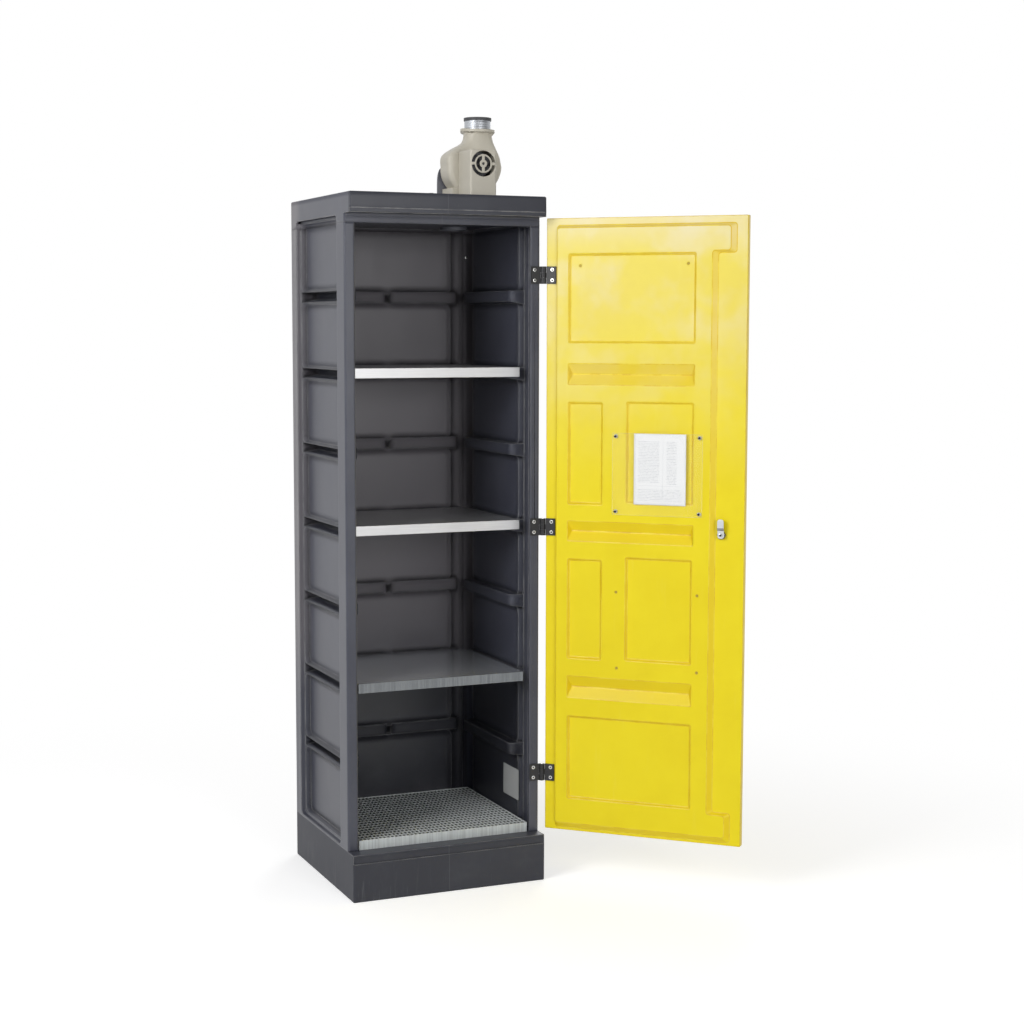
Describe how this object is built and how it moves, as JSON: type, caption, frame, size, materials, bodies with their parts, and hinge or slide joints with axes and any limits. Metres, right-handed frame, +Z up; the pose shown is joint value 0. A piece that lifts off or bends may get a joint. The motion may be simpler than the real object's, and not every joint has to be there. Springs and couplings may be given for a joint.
{
  "type": "chemical storage cabinet",
  "caption": "Tall moulded plastic cabinet for chemicals with a hinged lockable plug door, shelves on moulded ribs, a grating over a sump and a roof extraction fan.",
  "frame": {"origin": "middle of the plinth's underside, on the floor", "axes": "+Z up, -Y out of the front opening, +X to the hinged side of the door as seen from the front"},
  "size_m": [1.016, 0.8921, 2.157],
  "materials": {
    "shell_plastic": "satin moulded",
    "door_plastic": "satin moulded",
    "hinge_plastic": "satin",
    "screw_steel": "zinc plated",
    "insert_brass": "satin",
    "spacer_plastic": "satin",
    "acrylic": "clear",
    "paper": "matt",
    "lock_metal": "plated",
    "shelf_steel": "stainless sheet",
    "galvanised_steel": "galvanised",
    "fan_plastic": "satin moulded",
    "bracket_plastic": "satin",
    "motor_metal": "satin",
    "shaft_steel": "ground",
    "seal_rubber": "matt",
    "gland_plastic": "satin"
  },
  "bodies": {
    "cabinet": {"cabinet_plinth": "shell_plastic", "cabinet_side_left": "shell_plastic", "cabinet_side_right": "shell_plastic", "cabinet_back": "shell_plastic", "cabinet_lid": "shell_plastic", "wall_anchor_screws": "screw_steel", "hinge_frame_leaf_1": "hinge_plastic", "hinge_frame_leaf_2": "hinge_plastic", "hinge_frame_leaf_3": "hinge_plastic", "hinge_pin_1": "shaft_steel", "hinge_pin_2": "shaft_steel", "hinge_pin_3": "shaft_steel", "hinge_frame_screws": "screw_steel", "fan_scroll": "fan_plastic", "outlet_spigot": "galvanised_steel", "outlet_seal": "seal_rubber", "fan_motor_cover": "fan_plastic", "fan_motor": "motor_metal", "fan_inlet_elbow": "bracket_plastic", "roof_collar": "bracket_plastic", "fan_rear_bracket": "bracket_plastic", "fan_foot_screws": "screw_steel", "cable_gland_body": "gland_plastic", "cable_gland_nut": "gland_plastic"},
    "door": {"door": "door_plastic", "hinge_door_leaf_1": "hinge_plastic", "hinge_door_leaf_2": "hinge_plastic", "hinge_door_leaf_3": "hinge_plastic", "hinge_door_screws": "screw_steel", "door_inserts": "insert_brass", "holder_spacers": "spacer_plastic", "holder_plate": "acrylic", "holder_screws": "screw_steel", "document_sheet": "paper", "lock_housing": "lock_metal", "lock_nut": "lock_metal"},
    "lock": {"lock_core": "lock_metal", "lock_cam": "lock_metal", "cam_screw": "screw_steel"},
    "fan_rotor": {"fan_shaft": "shaft_steel", "fan_impeller": "fan_plastic"},
    "shelf_upper": {"shelf_upper": "shelf_steel"},
    "shelf_middle": {"shelf_middle": "shelf_steel"},
    "shelf_lower": {"shelf_lower": "galvanised_steel"},
    "grating": {"grating": "galvanised_steel"}
  },
  "joints": [
    {"name": "door_swing", "type": "hinge", "parent": "cabinet", "child": "door", "pos_m": [0.2935, -0.22425, 1.005], "axis": [0, 0, 1], "range_deg": [-136, 44]},
    {"name": "lock_turn", "type": "hinge", "parent": "door", "child": "lock", "pos_m": [0.66475, -0.58276, 1.002], "axis": [0.6947, 0.7193, 0], "range_deg": [0, 90]},
    {"name": "fan_spin", "type": "hinge", "parent": "cabinet", "child": "fan_rotor", "pos_m": [0.157, 0, 2.016], "axis": [0, 1, 0], "continuous": true},
    {"name": "shelf_upper_slide", "type": "slide", "parent": "cabinet", "child": "shelf_upper", "axis": [0, -1, 0], "range_m": [0, 0.4]},
    {"name": "shelf_middle_slide", "type": "slide", "parent": "cabinet", "child": "shelf_middle", "axis": [0, -1, 0], "range_m": [0, 0.4]},
    {"name": "shelf_lower_slide", "type": "slide", "parent": "cabinet", "child": "shelf_lower", "axis": [0, -1, 0], "range_m": [-0.029, 0.37]},
    {"name": "grating_lift", "type": "slide", "parent": "cabinet", "child": "grating", "axis": [0, 0, 1], "range_m": [0, 0.15]}
  ]
}
